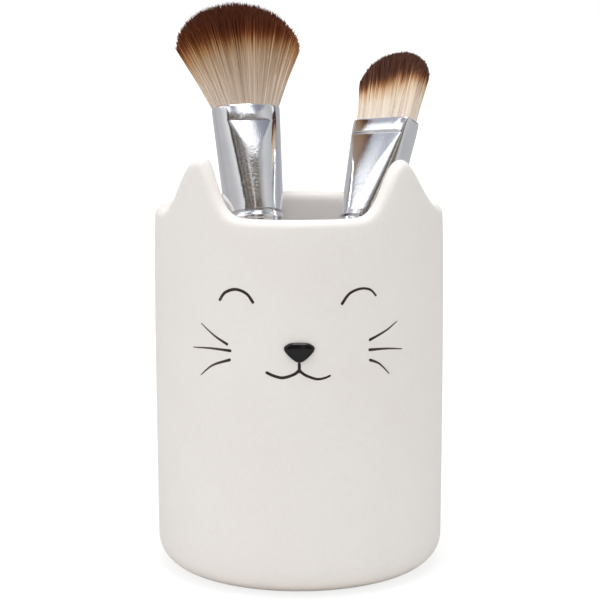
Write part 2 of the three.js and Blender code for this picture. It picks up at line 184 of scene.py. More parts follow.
def panel_row(row):
    """Colour of a row of panels all round the studio."""
    return ramp(round_share, [((bearing + 180) / 360, code) for bearing, code in row])


def between(value, start, end, low=0.0, high=1.0):
    """A smooth change from low to high between two angles in degrees."""
    return fade(value, radians(start), radians(end), low, high, "SMOOTHSTEP")


def patch(height, lower_edge, left_edge, right_edge):
    """Mask of a patch of the upper row, each soft edge given by the two angles it lies between."""
    across = calculate("MULTIPLY", between(bearing, *left_edge), between(bearing, *right_edge))
    return calculate("MULTIPLY", between(height, *lower_edge), across)


lower_row, upper_row = panel_row(LOWER_ROW), panel_row(UPPER_ROW)
# A grey patch at the left, which hangs lower towards the front, and a grey ceiling above it.
hanging = between(bearing, -101.3, -100.0, 0.0, radians(1.5))
left_height = calculate("ADD", elevation, hanging)
for mask, code in (
    (patch(left_height, (43.9, 45.2), (-114, -110), (-95, -98)), "#a8a9b3"),
    (patch(elevation, (50.5, 53.5), (-95, -75), (-5, -14)), "#94959a"),
):
    upper_row = mix_colours(mask, upper_row, colour(code))
noise = {"Vector": direction, "Scale": 18.0, "Detail": 5.0}
speckle = add_node(sky, "TexNoise", noise).outputs[0]
speckled = mix_colours(1.0, lower_row, ramp(speckle, SPECKLE), "MULTIPLY")
in_front = calculate("LESS_THAN", calculate("ABSOLUTE", bearing), radians(SPECKLED_FRONT))
lower_row = mix_colours(in_front, lower_row, speckled)
# The rows meet lower down towards the left, in two steps.
drop = calculate(
    "ADD", between(bearing, -50, -62, 0.0, radians(10.5)),
    between(bearing, -5, -25, 0.0, radians(3.5)),
)
seam_height = calculate("ADD", elevation, drop)
ragged_height = calculate("MULTIPLY_ADD", speckle, radians(RAGGEDNESS), seam_height)
upper_share = between(ragged_height, *(edge + RAGGEDNESS / 2 for edge in ROWS_MEET))
mirrored = mix_colours(upper_share, lower_row, upper_row)
ray = add_node(sky, "LightPath").outputs
daylight, ring, backdrop = (
    add_node(sky, "Background", {"Color": light, "Strength": strength}).outputs[0]
    for light, strength in ((WHITE, DAYLIGHT), (mirrored, PANEL_LIGHT), (WHITE, 1.0))
)
surroundings = mix_shaders(ray["Is Glossy Ray"], daylight, ring)
looked_at = calculate("MAXIMUM", ray["Is Camera Ray"], ray["Is Transmission Ray"])
add_node(sky, "OutputWorld", {"Surface": mix_shaders(looked_at, surroundings, backdrop)})

for lamp_name, place, side, watts, is_mirrored in LAMPS:
    lamp_data = bpy.data.lights.new(lamp_name, "AREA")
    lamp_data.size = side * MM
    lamp_data.energy = watts
    lamp = new_object(lamp_name, lamp_data)
    lamp.location = Vector(place) * MM
    lamp.rotation_euler = (lamp.location - LAMP_AIM).to_track_quat("Z", "Y").to_euler()
    lamp.visible_glossy = is_mirrored

# Light bounces off the paper as off any white sheet. Where it is looked at it glows white, so that
# only a faint shadow is left near the cup, and the metal mirrors it darker.
paper = bpy.data.materials.new("white_paper")
paper.use_nodes = True
tree = paper.node_tree
tree.nodes.clear()
ray = add_node(tree, "LightPath").outputs
mirrored = calculate("MAXIMUM", ray["Is Glossy Ray"], ray["Is Transmission Ray"])
looked_at = calculate("MAXIMUM", ray["Is Camera Ray"], mirrored)
matte, faint = (
    add_node(tree, "BsdfDiffuse", {"Color": light}).outputs[0]
    for light in (PAPER, PAPER_SHADOW)
)
place = add_node(tree, "TexCoord").outputs["Object"]
away = add_node(tree, "VectorMath", {0: place}, operation="LENGTH").outputs["Value"]
far_off = fade(away, 0.06, 0.3, 0.8, 1.0)
in_metal = calculate("MULTIPLY", ray["Is Glossy Ray"], -0.62)
glow = add_node(tree, "Emission", {
    "Color": WHITE, "Strength": calculate("ADD", far_off, in_metal),
})
bright = add_node(tree, "AddShader", {0: faint, 1: glow.outputs[0]}).outputs[0]
add_node(tree, "OutputMaterial", {"Surface": mix_shaders(looked_at, matte, bright)})

bm = bmesh.new()
bmesh.ops.create_grid(bm, x_segments=1, y_segments=1, size=20.0)
bmesh.ops.translate(bm, verts=bm.verts, vec=(0, 0, -0.1 * MM))
mesh = bpy.data.meshes.new("floor")
bm.to_mesh(mesh)
bm.free()
mesh.materials.append(paper)
floor = new_object("floor", mesh)

# ------------------------ cup body
# Cast ceramic under a matte, faintly warm white glaze, with the ears grown out of its round rim. The
# face is pressed in as shallow grooves and a pocket for the nose. The flat of the base is bare. The
# cavity's glaze is painted a little whiter, as painted light on the dim inner wall.
CUP_HEIGHT = 103.1
BASE_RADIUS = 40.8
BELLY_RADIUS = 41.15
RIM_RADIUS = 40.7
BELLY_HEIGHT = 70.0
WALL = 5.0
CAVITY_FLOOR = 5.0
BASE_FILLET = 8.3
CAVITY_FILLET = 6.0
RIM_ROUND = WALL / 2
EAR_FOOT = 85.3  # the wall above this level stretches up into the ears
# An ear's bearing in degrees, and the reach and steepness of its slopes towards the face and away.
LEFT_EAR = dict(bearing=-40.9, height=15.5, inner=(5.4, 1.75), outer=(11.9, 2.7))
RIGHT_EAR = dict(bearing=46.2, height=14.8, inner=(8.8, 2.5), outer=(10.5, 1.6))
FACE_LINES = {
    "mouth_line": [
        [(0, 65.0), (0, 62.9)],
        [(0, 63.3), (-1.5, 62.1), (-4.4, 61.2), (-6.8, 61.65), (-8.7, 62.45)],
        [(0, 63.3), (1.5, 62.0), (4.5, 60.85), (6.6, 61.0), (8.2, 61.6)],
    ],
    "left_eye_line": [[(-22.3, 81.4), (-20.6, 83.5), (-17.4, 84.5), (-14.3, 83.5), (-12.5, 81.3)]],
    "right_eye_line": [[(11.6, 80.9), (13.7, 83.5), (16.8, 84.6), (19.7, 84.2), (21.5, 82.5)]],
    "left_whisker_1": [[(-20.2, 69.5), (-24.4, 71.6), (-28.6, 74.4)]],
    "left_whisker_2": [[(-19.2, 67.8), (-25.5, 67.9), (-31.7, 67.5)]],
    "left_whisker_3": [[(-19.4, 65.3), (-24.9, 63.3), (-29.0, 60.2)]],
    "right_whisker_1": [[(19.7, 70.6), (24.9, 72.7), (28.6, 74.8)]],
    "right_whisker_2": [[(19.6, 67.9), (25.1, 67.7), (30.5, 67.0)]],
    "right_whisker_3": [[(19.8, 65.1), (22.7, 63.8), (25.9, 60.8)]],
}
TIP_WIDTHS = {"whisker": 0.38, "right": 0.7}  # width of a line's far end, as a share of its near end
FACE_GROOVE = [  # half a groove's section: distance from its middle line, depth below the wall
    (0.75, -0.3), (0.41, 0.1), (0.41, 0.36), (0.29, 0.67), (0, 0.83),
]
GROOVE_END = 0.45  # length of the rounding past a line's last point
CUTTER_RISE = 0.3  # how far a cutter stands out of the wall
NOSE_LEVEL = 69.0
NOSE_HALF = [  # half its outline, about the nose's level
    (0, 1.73), (2.3, 1.55), (3.75, 0.75), (4.02, -0.1), (3.2, -1.45), (1.4, -3.1), (0, -3.6),
]
NOSE_MIDDLE = -0.6  # from the nose's level to its middle
NOSE_POCKET = 1.0
POCKET_GROWTH = 1.02  # the pocket is a little larger than the nose
QUARTER_STEPS = 180
SHARP_TURN = radians(32)  # edges that turn by more aren't shaded smooth
SAME_PLACE = 2e-3
LEVEL_SLACK = 1e-3


def lerp(start, end, share):
    return start + (end - start) * share


def clamp(value, low=0.0, high=1.0):
    return max(low, min(high, value))


def wall_radius(z):
    """Outer radius of the wall, which swells a little towards the belly."""
    if z < BELLY_HEIGHT:
        end, reach = BASE_RADIUS, BELLY_HEIGHT
    else:
        end, reach = RIM_RADIUS, CUP_HEIGHT - BELLY_HEIGHT
    away = min(abs(z - BELLY_HEIGHT) / reach, 1)
    return BELLY_RADIUS - (BELLY_RADIUS - end) * away ** 2


def rim_height(bearing):
    """Height of the rim at a bearing from the front, ears included."""
    height = CUP_HEIGHT
    for ear in (LEFT_EAR, RIGHT_EAR):
        turned = bearing - radians(ear["bearing"])
        outwards = turned * copysign(RIM_RADIUS, ear["bearing"])
        reach, steepness = ear["inner"] if outwards < 0 else ear["outer"]
        height += ear["height"] * exp(-((abs(outwards) / reach) ** steepness))
    return height


def round_height(bearing):
    """Height of the rim's rounding, steeper on an ear's slope so that its edge stays thick."""
    step = radians(0.1)
    rise = rim_height(bearing + step) - rim_height(bearing - step)
    return RIM_ROUND * hypot(1, rise / (2 * step * RIM_RADIUS))


def arc(centre, radius, start, end, steps):
    """Points of an arc in the plane of radius and height, between two angles in degrees."""
    angles = [radians(lerp(start, end, step / steps)) for step in range(steps + 1)]
    return [(centre[0] + radius * cos(a), centre[1] + radius * sin(a)) for a in angles]


def levels(start, end, steps):
    """Heights after the start, up to and with the end."""
    return [lerp(start, end, step / steps) for step in range(1, steps + 1)]


def spun(profile, angle, steps, use_merge=False):
    """A mesh of a (radius, height) profile turned about the upright axis."""
    bm = bmesh.new()
    outline = [bm.verts.new((radius, 0, z)) for radius, z in profile]
    edges = [bm.edges.new(pair) for pair in zip(outline, outline[1:])]
    bmesh.ops.spin(
        bm, geom=outline + edges, cent=(0, 0, 0), axis=(0, 0, 1), dvec=(0, 0, 0), angle=angle,
        steps=steps, use_merge=use_merge,
    )
    return bm


def made(result, kind):
    """The points, edges or faces that an operator made."""
    return [part for part in result["geom"] if isinstance(part, kind)]


def doubled(bm):
    """Copies the whole mesh in its place and returns the copy's points."""
    geometry = bm.verts[:] + bm.edges[:] + bm.faces[:]
    return made(bmesh.ops.duplicate(bm, geom=geometry), BMVert)


def shade(bm):
    """Smooth shading, but for sharp edges."""
    for edge in bm.edges:
        edge.smooth = len(edge.link_faces) == 2 and edge.calc_face_angle(0) < SHARP_TURN
    for face in bm.faces:
        face.smooth = True


def piece_from(name, bm, material, place=None):
    """Closes a mesh made in millimetres, sets it in its place and makes it an object in metres."""
    bmesh.ops.remove_doubles(bm, verts=bm.verts, dist=SAME_PLACE)
    bmesh.ops.recalc_face_normals(bm, faces=bm.faces)
    if place is not None:
        bmesh.ops.transform(bm, matrix=place, verts=bm.verts)
    bmesh.ops.scale(bm, vec=(MM, MM, MM), verts=bm.verts)
    shade(bm)
    mesh = bpy.data.meshes.new(name)
    bm.to_mesh(mesh)
    bm.free()
    mesh.materials.append(material)
    return new_object(name, mesh)


def smooth_path(points, steps):
    """Points and tangents along a smooth curve through the given points of the flat face."""
    stations = []
    for step in range(steps + 1):
        share = step / steps * (len(points) - 1)
        index = min(int(share), len(points) - 2)
        t = share - index
        before, start, end, after = (
            Vector(points[clamp(index + k, 0, len(points) - 1)]) for k in (-1, 0, 1, 2)
        )
        leave, arrive = (end - before) / 2, (after - start) / 2
        cubed = 2 * start - 2 * end + leave + arrive
        squared = -3 * start + 3 * end - 2 * leave - arrive
        stations.append((
            cubed * t ** 3 + squared * t ** 2 + leave * t + start,
            (3 * cubed * t ** 2 + 2 * squared * t + leave).normalized(),
        ))
    return stations


def tip_width(path):
    """Whiskers, which have three points, run out thin, and lines right of the middle a little."""
    if len(path) == 3:
        return TIP_WIDTHS["whisker"]
    return TIP_WIDTHS["right"] if path[-1][0] > 5 else 1.0


def extruded(bm, face, move, is_first=False):
    """Extrudes a face and returns the new one. The first face of a solid stays to close it."""
    new_face = made(bmesh.ops.extrude_face_region(bm, geom=[face]), BMFace)[0]
    if not is_first:
        bmesh.ops.delete(bm, geom=[face], context="FACES_ONLY")
    bmesh.ops.translate(bm, verts=new_face.verts[:], vec=move)
    return new_face


def with_mirror(half):
    """Half an outline, with its other half in mirror image."""
    return half + [(-across, along) for across, along in reversed(half[:-1])]


def sweep_line(bm, path, half_section, end_length):
    """Sweeps a groove's or filling's section along a path of the flat face, its ends rounded off."""
    end_width = tip_width(path)
    stations = smooth_path(path, 24)
    near, far = stations[0], stations[-1]
    rounding = [(0.12, 1.0), (0.6, 0.75), (0.88, 0.4)]  # width, and how far back from the very end
    swept = [(near[0] - near[1] * end_length * back, near[1], width) for width, back in rounding]
    for index, (point, tangent) in enumerate(stations):
        swept.append((point, tangent, lerp(1, end_width, index / (len(stations) - 1))))
    for width, back in reversed(rounding):
        swept.append((far[0] + far[1] * end_length * end_width * back, far[1], width * end_width))
    point, tangent, width = swept[0]
    corners = []
    for across, depth in with_mirror(half_section):
        sideways = Vector((-tangent.y, tangent.x)) * across * width
        corners.append(bm.verts.new((point.x + sideways.x, depth * width, point.y + sideways.y)))
    face = bm.faces.new(corners)
    for index, (next_point, next_tangent, next_width) in enumerate(swept[1:]):
        shift = next_point - point
        face = extruded(bm, face, (shift.x, 0, shift.y), is_first=index == 0)
        verts = face.verts[:]
        to_origin = Matrix.Translation((-next_point.x, 0, -next_point.y))
        growth = next_width / width
        bmesh.ops.scale(bm, vec=(growth, growth, growth), space=to_origin, verts=verts)
        turn = Matrix.Rotation(-next_tangent.angle_signed(tangent, 0), 3, "Y")
        bmesh.ops.rotate(bm, cent=(next_point.x, 0, next_point.y), matrix=turn, verts=verts)
        point, tangent, width = next_point, next_tangent, next_width


def nose_outline(bm, growth, depth):
    """A face in the outline of the nose, a rounded triangle with its point down."""
    outline = [point for point, _ in smooth_path(with_mirror(NOSE_HALF), 48)][:-1]
    return bm.faces.new([
        bm.verts.new((
            p.x * growth, depth, NOSE_LEVEL + NOSE_MIDDLE + (p.y - NOSE_MIDDLE) * growth
        )) for p in outline
    ])


def bend_to_wall(bm):
    """Wraps a mesh of the flat face round the cup: x runs along the wall and y down into it."""
    for vertex in bm.verts:
        along, depth, z = vertex.co
        radius = wall_radius(z) - depth
        bearing = along / BELLY_RADIUS
        vertex.co = (radius * sin(bearing), -radius * cos(bearing), z)


def uneven_tone_group():
    """Soft uneven tone over a surface, about 0.5, in patches of a size in metres."""
    group = bpy.data.node_groups.new("uneven_tone", "ShaderNodeTree")
    for name, way, kind in (
        ("Vector", "INPUT", "Vector"), ("Patch Size", "INPUT", "Float"), ("Tone", "OUTPUT", "Float"),
    ):
        group.interface.new_socket(name=name, in_out=way, socket_type="NodeSocket" + kind)
    given = group.nodes.new("NodeGroupInput")
    noise = add_node(group, "TexNoise", {
        "Vector": given.outputs["Vector"],
        "Scale": calculate("DIVIDE", 1.0, given.outputs["Patch Size"]),
        "Detail": 3.0, "Roughness": 0.55,
    })
    group.links.new(noise.outputs[0], group.nodes.new("NodeGroupOutput").inputs["Tone"])
    return group


uneven_tone = uneven_tone_group()


def new_material(name):
    """A material with its tree and its Object coordinates."""
    material = bpy.data.materials.new(name)
    material.use_nodes = True
    tree = material.node_tree
    return material, tree, add_node(tree, "TexCoord").outputs["Object"]


def uneven(place, patch_size):
    """Tone output of the uneven-tone group."""
    inputs = {"Vector": place, "Patch Size": patch_size}
    return add_node(place.id_data, "Group", inputs, node_tree=uneven_tone).outputs["Tone"]


def relief(height, distance, strength):
    """Normal output of a Bump node over a height, for a distance in metres."""
    inputs = {"Height": height, "Distance": distance, "Strength": strength}
    return add_node(height.id_data, "Bump", inputs).outputs[0]


def finish(tree, values):
    """Sets or links sockets of the Principled shader by name and returns its output."""
    shader = tree.nodes["Principled BSDF"]
    for name, value in values.items():
        feed(shader.inputs[name], value)
    return shader.outputs[0]


glaze, tree, place = new_material("matte_white_glaze")
height = add_node(tree, "SeparateXYZ", {0: place}).outputs["Z"]
cloudy = ramp(uneven(place, 0.035), [(0.3, "#e6e1dd"), (0.7, "#e8e4e0")])
fine = ramp(uneven(place, 0.0012), [(0.25, "#fdfcfb"), (0.6, "#ffffff")])
glazed = mix_colours(1.0, cloudy, fine, "MULTIPLY")
warm_foot = fade(height, 0.0005, 0.006, 0.6, 0.0)
glazed = mix_colours(warm_foot, glazed, colour("#e6dace"))
# Painted light: inside the cavity, below the rim, the glaze is painted whiter so that the inner wall
# looks lit.
flat_place = add_node(tree, "VectorMath", {0: place, 1: (1, 1, 0)}, operation="MULTIPLY")
from_axis = add_node(tree, "VectorMath", {0: flat_place.outputs[0]}, operation="LENGTH")
within_wall = fade(from_axis.outputs["Value"], 0.0363, 0.0375, 1.0, 0.0)
below_rim = fade(height, 0.1006, 0.102, 1.0, 0.0)
above_base = calculate("GREATER_THAN", height, 0.004)
cavity_painted_light = calculate("MULTIPLY", within_wall, calculate("MULTIPLY", below_rim, above_base))
glazed = mix_colours(cavity_painted_light, glazed, colour("#fcf7f5"))
grain = uneven(place, 0.0005)
biscuit = ramp(grain, [(0.3, "#d3c7b8"), (0.7, "#e0d6c9")])
grainy_height = calculate("ADD", height, calculate("MULTIPLY", grain, 0.0003))
bare = fade(grainy_height, 0.0003, 0.0005, 1.0, 0.0)
roughness = calculate("MULTIPLY_ADD", uneven(place, 0.012), 0.16, 0.38)
ripple = calculate("ADD", uneven(place, 0.003), calculate("MULTIPLY", grain, 0.15))
finish(tree, {
    "Base Color": mix_colours(bare, glazed, biscuit),
    "Roughness": calculate("MAXIMUM", roughness, calculate("MULTIPLY", bare, 0.85)),
    "Normal": relief(ripple, 0.0002, 0.05),
    "Specular IOR Level": 0.5,
    "Sheen Weight": 0.15,
    "Sheen Roughness": 0.35,
})

rim_start = CUP_HEIGHT - RIM_ROUND
wall_levels = levels(BASE_FILLET, BELLY_HEIGHT, 10) + levels(BELLY_HEIGHT, EAR_FOOT, 3)
wall_levels += levels(EAR_FOOT, rim_start, 8)[:-1]
cavity_radius = wall_radius(CAVITY_FLOOR + CAVITY_FILLET) - WALL
base_corner = (wall_radius(BASE_FILLET) - BASE_FILLET, BASE_FILLET)
cavity_corner = (cavity_radius - CAVITY_FILLET, CAVITY_FLOOR + CAVITY_FILLET)
profile = [(0, 0), (14, 0), (26, 0)]
profile += arc(base_corner, BASE_FILLET, -90, 0, 14)
profile += [(wall_radius(z), z) for z in wall_levels]
profile += arc((RIM_RADIUS - RIM_ROUND, rim_start), RIM_ROUND, 0, 180, 16)
profile += [(wall_radius(z) - WALL, z) for z in reversed(wall_levels)]
profile += arc(cavity_corner, CAVITY_FILLET, 0, -90, 10)
profile += [(16, CAVITY_FLOOR), (0, CAVITY_FLOOR)]

# A quarter is turned on the axis, doubled and doubled again, and then its ears are drawn up.
bm = spun(profile, pi / 2, QUARTER_STEPS)
for angle in (pi / 2, pi):
    turn = Matrix.Rotation(angle, 3, "Z")
    bmesh.ops.rotate(bm, cent=(0, 0, 0), matrix=turn, verts=doubled(bm))
for vertex in bm.verts:
    x, y, z = vertex.co
    if z > EAR_FOOT + LEVEL_SLACK:
        bearing = atan2(x, -y)
        round_top = round_height(bearing)
        round_start = rim_height(bearing) - round_top
        if z > rim_start + LEVEL_SLACK:
            vertex.co.z = round_start + (z - rim_start) * round_top / RIM_ROUND
        else:
            vertex.co.z = lerp(EAR_FOOT, round_start, (z - EAR_FOOT) / (rim_start - EAR_FOOT))
cup = piece_from("cup", bm, glaze)

# The mouth's three strokes meet, so each is cut on its own, and the nose's pocket comes last.
mouth_stem, mouth_left, mouth_right = FACE_LINES["mouth_line"]
single_strokes = [mouth_stem]
single_strokes += [paths[0] for name, paths in FACE_LINES.items() if name != "mouth_line"]
for cut, paths in enumerate((single_strokes, [mouth_left], [mouth_right], [])):
    bm = bmesh.new()
    for path in paths:
        sweep_line(bm, path, FACE_GROOVE, GROOVE_END)
    if not paths:
        pocket = nose_outline(bm, POCKET_GROWTH, NOSE_POCKET)
        extruded(bm, pocket, (0, -NOSE_POCKET - CUTTER_RISE, 0), is_first=True)
    bend_to_wall(bm)
    cutter = piece_from(f"cutter_{cut}", bm, glaze)
    boolean = cup.modifiers.new("groove", "BOOLEAN")
    boolean.object = cutter
    boolean.operation = "DIFFERENCE"
    boolean.solver = "MANIFOLD"
    evaluated = cup.evaluated_get(bpy.context.evaluated_depsgraph_get())
    grooved = bpy.data.meshes.new_from_object(evaluated)
    cup.modifiers.clear()
    cup.data = grooved
    bpy.data.objects.remove(cutter)
bm = bmesh.new()
bm.from_mesh(cup.data)
shade(bm)
bm.to_mesh(cup.data)
bm.free()
cup.data.name = "cup"
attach(cup, "cup")
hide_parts("cup_body")

# ------------------------ nose
# A small ceramic button in the shape of a rounded triangle, coated in glossy black and set in its
# pocket so that it stands a millimetre proud of the wall.
NOSE_GAP = 0.05  # under the nose, in its pocket
NOSE_EDGE = 0.2
NOSE_RISE = 1.15
DOME_STEPS = 9

nose_black, tree, place = new_material("glossy_black")
finish(tree, {
    "Base Color": ramp(uneven(place, 0.002), [(0.3, "#050405"), (0.7, "#0d0a0b")]),
    "Roughness": calculate("MULTIPLY_ADD", uneven(place, 0.0015), 0.1, 0.08),
    "Specular IOR Level": 0.4,
    "Coat Weight": 0.15,
    "Coat Roughness": 0.06,
    "Normal": relief(uneven(place, 0.0015), 0.0002, 0.15),
})

bm = bmesh.new()
face = nose_outline(bm, 1.0, NOSE_POCKET - NOSE_GAP)
face = extruded(bm, face, (0, -NOSE_POCKET + NOSE_GAP - NOSE_EDGE, 0), is_first=True)
share_before, rise_before = 1.0, NOSE_EDGE
for step in range(1, DOME_STEPS):
    angle = radians(step / DOME_STEPS * 90)
    share, rise = cos(angle) ** 0.7, lerp(NOSE_EDGE, NOSE_RISE, sin(angle) ** 0.8)
    face = extruded(bm, face, (0, rise_before - rise, 0))
    middle = Vector((0, face.verts[0].co.y, NOSE_LEVEL + NOSE_MIDDLE))
    growth = share / share_before
    to_origin = Matrix.Translation(-middle)
    bmesh.ops.scale(bm, vec=(growth, 1, growth), space=to_origin, verts=face.verts[:])
    share_before, rise_before = share, rise
bmesh.ops.poke(bm, faces=[face])
bend_to_wall(bm)
nose = piece_from("nose_button", bm, nose_black)
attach(nose, "cup")
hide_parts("nose")

# ------------------------ face lines
# Dark brown enamel run into the nine grooves of the mouth, the closed eyes and the whiskers, a
# little below the glaze around it and slightly hollow across. It thins out towards the cheeks.
FILLING = [  # half a filling's section, just inside its groove
    (0, 0.16), (0.22, 0.14), (0.4, 0.08), (0.4, 0.35), (0.28, 0.65), (0, 0.8),
]
FILLING_END = 0.4

enamel, tree, place = new_material("dark_enamel")
full = ramp(uneven(place, 0.0015), [(0.3, "#1d1312"), (0.7, "#3a2722")])
across = add_node(tree, "SeparateXYZ", {0: place}).outputs["X"]
thin_share = fade(calculate("ABSOLUTE", across), 0.019, 0.029, 0.0, 0.75)
finish(tree, {
    "Base Color": mix_colours(thin_share, full, colour("#75625b")),
    "Roughness": calculate("MULTIPLY_ADD", uneven(place, 0.0008), 0.3, 0.3),
    "Normal": relief(uneven(place, 0.0006), 0.0001, 0.3),
})

for name, paths in FACE_LINES.items():
    bm = bmesh.new()
    for path in paths:
        sweep_line(bm, path, FILLING, FILLING_END)
    bend_to_wall(bm)
    line = piece_from(name + "_enamel", bm, enamel)
    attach(line, "cup")
    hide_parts(name)

# ------------------------ ferrules
# Nickel-plated brass tubes, drawn round, then pressed flat at the mouth, so that a triangle with its
# point down forms on each face. A rolled groove and a bead below it crimp the tube on the handle.
POWDER = dict(
    name="powder_brush",
    foot=(-5.5, -10.9),  # where it stands on the cavity's floor
    turn=14,  # degrees about its own length
    tube=8.75,  # radius of the ferrule where it is round
    start=88, mouth=127.1,  # levels of the ferrule's two ends
    mouth_half=(10.3, 6.4), mouth_squareness=2.2,
    press_point=109.5,  # level of the pressed triangle's point
    press_depth=0.8, press_round=90, press_fade=0.5,
    root_squareness=2, tuft_half=18.5, shift=-0.5,
    dome_start=18.6, dome=14.3, dome_power=2.0, slant=-0.06, tip_spread=0.4,
    dyed_middle=18.6, dyed_drop=1.7, dyed_slant=1.2, dye_spread=0.9,
)
FOUNDATION = dict(
    name="foundation_brush",
    foot=(0.6, -21.1),
    turn=-40,
    tube=7.9,
    start=89.5, mouth=127.5,
    mouth_half=(10.3, 4.3), mouth_squareness=6.0,
    press_point=101.0,
    press_depth=0.4, press_round=300, press_fade=0.8,
    root_squareness=4, tuft_half=11.0, shift=-0.3,
    dome_start=12.8, dome=9, dome_power=2.6, slant=0.17, tip_spread=0.25,
    dyed_middle=10.9, dyed_drop=0.5, dyed_slant=2.1, dye_spread=0.8,
)
BRUSHES = (POWDER, FOUNDATION)
FOOT_RADIUS = 4.0
REST = 0.3  # clearance under a brush's foot
TENON = 14.0
FERRULE_WALL = 0.6
EDGE_ROUND = 0.3  # of the tube's two ends
LIP = 0.4  # from the mouth down to where its rounding starts
HEM = 6.0  # from the ferrule's lower edge to its groove
GROOVE_DEPTH, GROOVE_HALF = 0.5, 0.45
BEAD_DROP, BEAD_HALF, BEAD_HEIGHT = 1.8, 1.3, 0.25  # below the groove
STEP_DROP, STEP_HALF, STEP_DEPTH = 3.6, 0.5, 0.3  # a shallow groove below the bead
MOUTH_BAND = 5.0
BAND_LEAN = 0.08  # millimetres in for each one up
BAND_CURL, CURL_START = 0.26, 1.2  # how far in the band curls, and from how high above its foot
CREASE_WIDTH, CREASE_DIP = 0.24, 0.12  # of the pressed triangle's sides
SIDES = 144


def brush_place(brush):
    """Where a brush stands: its foot on the cavity's floor and its length along its joint."""
    joint = next(joint for joint in frame["joints"] if joint["child"] == brush["name"])
    lean = Vector((0, 0, 1)).rotation_difference(Vector(joint["axis"])).to_matrix().to_4x4()
    foot = Matrix.Translation((*brush["foot"], CAVITY_FLOOR + REST + FOOT_RADIUS))
    return foot @ lean @ Matrix.Rotation(radians(brush["turn"]), 4, "Z")


def smooth_step(share):
    share = clamp(share)
    return share * share * (3 - 2 * share)


def hump(z, middle, half_width):
    """A smooth hump of height 1 over a width."""
    return cos(clamp((z - middle) / half_width, -1, 1) * pi / 2) ** 2


def flatness(brush, z, end):
    """0 where the tube is round, 1 from a level on."""
    round_end = brush["start"] + HEM + 2
    return clamp((z - round_end) / (end - round_end))


def mouth_point(brush, angle, inset):
    """A point of the mouth's outline, an oval that is flatter in front the squarer it is."""
    across, deep = (half - inset for half in brush["mouth_half"])
    power = 2 / brush["mouth_squareness"]
    x = across * copysign(abs(cos(angle)) ** power, cos(angle))
    y = deep * copysign(abs(sin(angle)) ** power, sin(angle))
    return Vector((x, y))


def tube_point(brush, side, z, inset):
    """A point of the tube, drawn in by an inset: round below and oval at the mouth. The two broad
    faces are pressed in under the mouth's band, in a triangle with its point down, and the band
    leans in and curls."""
    angle = side / SIDES * 2 * pi
    mouth, point = brush["mouth"], brush["press_point"]
    band = mouth - MOUTH_BAND
    end = mouth_point(brush, angle, inset)
    radius = brush["tube"] - inset
    flat = flatness(brush, z, band)
    x = lerp(radius * cos(angle), end.x, flatness(brush, z, mouth))
    y = lerp(radius * sin(angle), end.y, flat)
    curl = band + CURL_START
    lean = BAND_LEAN * max(z - band - LIP, 0)
    lean += BAND_CURL * (max(z - curl, 0) / (mouth - LIP - curl)) ** 2
    y *= 1 - lean / brush["mouth_half"][1]
    below_band = 1 - smooth_step((z - band + brush["press_fade"] / 5) / brush["press_fade"])
    if z > point and below_band > 0:
        rise = clamp((z - point) / (band - point))
        middle = lerp(brush["tube"], brush["mouth_half"][1], flat) - inset
        limit = middle - brush["press_depth"] * rise ** 2 * below_band
        limit -= x ** 2 / brush["press_round"]
        over = clamp(0.5 + (abs(y) - limit) / CREASE_WIDTH)
        crease = CREASE_DIP * over * (1 - over) * clamp(rise * 4)
        y = copysign(min(abs(y), lerp(abs(y), limit, over) - crease), y)
    return x, y, z


def ferrule_levels(brush):
    """(height, inset) pairs up the outside, over the lip and down the inside of the tube."""
    start, mouth = brush["start"], brush["mouth"]
    groove = start + HEM
    band = mouth - MOUTH_BAND
    last = start + EDGE_ROUND
    heights = [last]
    for level, steps in (
        (groove - 4.2, 6), (groove + 0.8, 30), (brush["press_point"], 16), (band - 0.6, 34),
        (band + 1.4, 16), (mouth - LIP, 11),
    ):
        heights += levels(last, level, steps)
        last = level
    outer = []
    for z in heights:
        crimp = GROOVE_DEPTH * hump(z, groove, GROOVE_HALF)
        crimp += STEP_DEPTH * hump(z, groove - STEP_DROP, STEP_HALF)
        outer.append((z, crimp - BEAD_HEIGHT * hump(z, groove - BEAD_DROP, BEAD_HALF)))
    lip = [
        (mouth - LIP + EDGE_ROUND * sin(a), EDGE_ROUND - EDGE_ROUND * cos(a))
        for a in (0.5, 1.0, 1.5, 2.1)
    ]
    inner = [
        (mouth - LIP, FERRULE_WALL + EDGE_ROUND), (band, FERRULE_WALL + EDGE_ROUND),
        (groove + 9, FERRULE_WALL), (groove + 1, FERRULE_WALL),
        (groove, FERRULE_WALL + GROOVE_DEPTH), (groove - 1, FERRULE_WALL),
        (start + EDGE_ROUND, FERRULE_WALL), (start, 0.45), (start, 0.15),
    ]
    return outer + lip + inner


def tube_mesh(brush, all_levels, is_ring=False):
    """A tube through (height, inset) levels. A ring is joined from its last level to its first."""
    bm = bmesh.new()
    side_of = bm.verts.layers.int.new("side")
    first = bmesh.ops.create_circle(bm, segments=SIDES, radius=brush["tube"])["verts"]
    for side, vertex in enumerate(first):
        vertex[side_of] = side
    lowest = ring = bm.edges[:]
    for level, (z, inset) in enumerate(all_levels):
        if level:
            ring = made(bmesh.ops.extrude_edge_only(bm, edges=ring), BMEdge)
        for vertex in {vertex for edge in ring for vertex in edge.verts}:
            vertex.co = tube_point(brush, vertex[side_of], z, inset)
    if is_ring:
        bmesh.ops.bridge_loops(bm, edges=lowest + ring)
    bm.verts.layers.int.remove(side_of)
    return bm


def keep_own_place(bm):
    """Remembers each point's place on its own upright brush, in metres, for the materials."""
    layer = bm.verts.layers.float_vector.new("own_place")
    for vertex in bm.verts:
        vertex[layer] = vertex.co * MM


def attribute(tree, name):
    """The node of an attribute of the mesh."""
    return add_node(tree, "Attribute", attribute_name=name)


def drawn_out(place, share):
    """Places squeezed along the brush, so that a pattern on them runs lengthwise."""
    inputs = {"Vector": place, "Scale": (1.0, 1.0, share)}
    return add_node(place.id_data, "Mapping", inputs).outputs[0]


